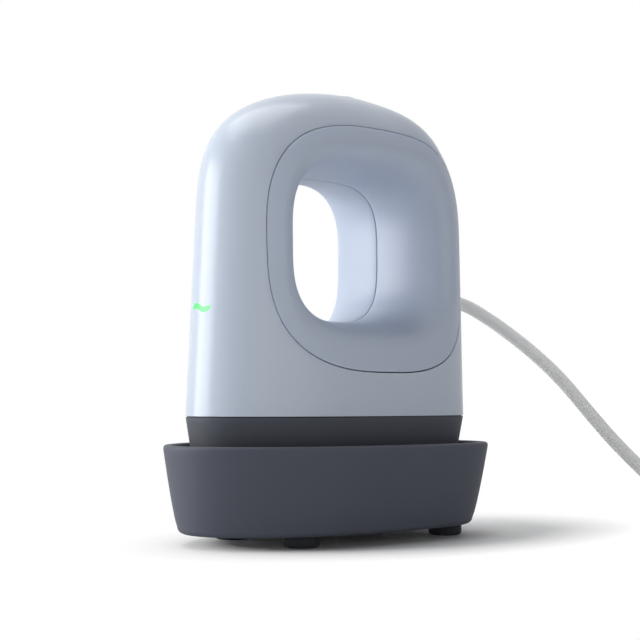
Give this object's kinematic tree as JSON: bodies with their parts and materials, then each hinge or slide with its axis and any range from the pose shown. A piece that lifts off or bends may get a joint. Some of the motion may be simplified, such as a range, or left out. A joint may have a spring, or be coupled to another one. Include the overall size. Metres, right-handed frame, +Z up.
{
  "type": "mini heat press",
  "caption": "Mini handheld heat press for craft transfers, standing in its dark safety base, with a glossy pale blue-grey shell, a finger-hole grip and a light grey cord.",
  "frame": {"origin": "centre of the underside of the base, on the surface it stands on, measured without the cord", "axes": "+X to the flat rear where the cord leaves, -X to the nose, +Z up, -Y the near side"},
  "size_m": [0.1565, 0.166, 0.1318],
  "materials": {
    "shell_gloss": "glossy moulded plastic, pale blue-grey",
    "grip_satin": "satin moulded plastic, blue-grey",
    "button_gloss": "glossy moulded plastic",
    "skirt_plastic": "fine matt moulded plastic, dark slate",
    "base_plastic": "fine matt moulded plastic, dark slate",
    "foot_rubber": "matt rubber",
    "liner_mat": "woven heat-proof mat",
    "inner_plastic": "natural moulded plastic",
    "plate_coating": "ceramic-coated cast plate",
    "element_steel": "sheathed element, dull",
    "clamp_steel": "plain steel",
    "screw_steel": "zinc-plated steel",
    "sensor_body": "ceramic body",
    "board_green": "solder mask",
    "part_black": "moulded component bodies",
    "indicator": "lit green light pipe",
    "cord_jacket": "light grey flexible jacket",
    "lead_jacket": "red insulated lead",
    "blade_brass": "plain brass"
  },
  "bodies": {
    "base": {"base_tray": "base_plastic", "base_liner": "liner_mat", "base_feet": "foot_rubber", "base_screws": "screw_steel", "cord_coil": "cord_jacket", "plug_body": "cord_jacket", "plug_blades": "blade_brass"},
    "press": {"outer_shell": "shell_gloss", "grip_near": "grip_satin", "grip_far": "grip_satin", "skirt": "skirt_plastic", "chassis": "inner_plastic", "heat_plate": "plate_coating", "heating_element": "element_steel", "element_clamp": "clamp_steel", "insulation_pad": "liner_mat", "temperature_sensor": "sensor_body", "thermal_fuse": "sensor_body", "plate_standoffs": "clamp_steel", "plate_screws": "screw_steel", "control_board": "board_green", "board_parts": "part_black", "board_screws": "screw_steel", "light_board": "board_green", "light_diodes": "indicator", "light_guide": "indicator", "button_spring": "clamp_steel", "button_carrier": "inner_plastic", "tact_switch": "part_black", "cord_clamp": "inner_plastic", "clamp_screws": "screw_steel", "strain_relief": "cord_jacket", "internal_leads": "lead_jacket", "power_cord": "cord_jacket"},
    "button": {"power_button": "button_gloss"}
  },
  "joints": [
    {"name": "press_lift", "type": "slide", "parent": "base", "child": "press", "axis": [0, 0, 1], "range_m": [0, 0.06]},
    {"name": "button_press", "type": "slide", "parent": "press", "child": "button", "axis": [0, 0, -1], "range_m": [0, 0.0008], "stiffness_N_per_m": 800, "springref_m": -0.0006, "deforming": ["button_spring"]}
  ]
}
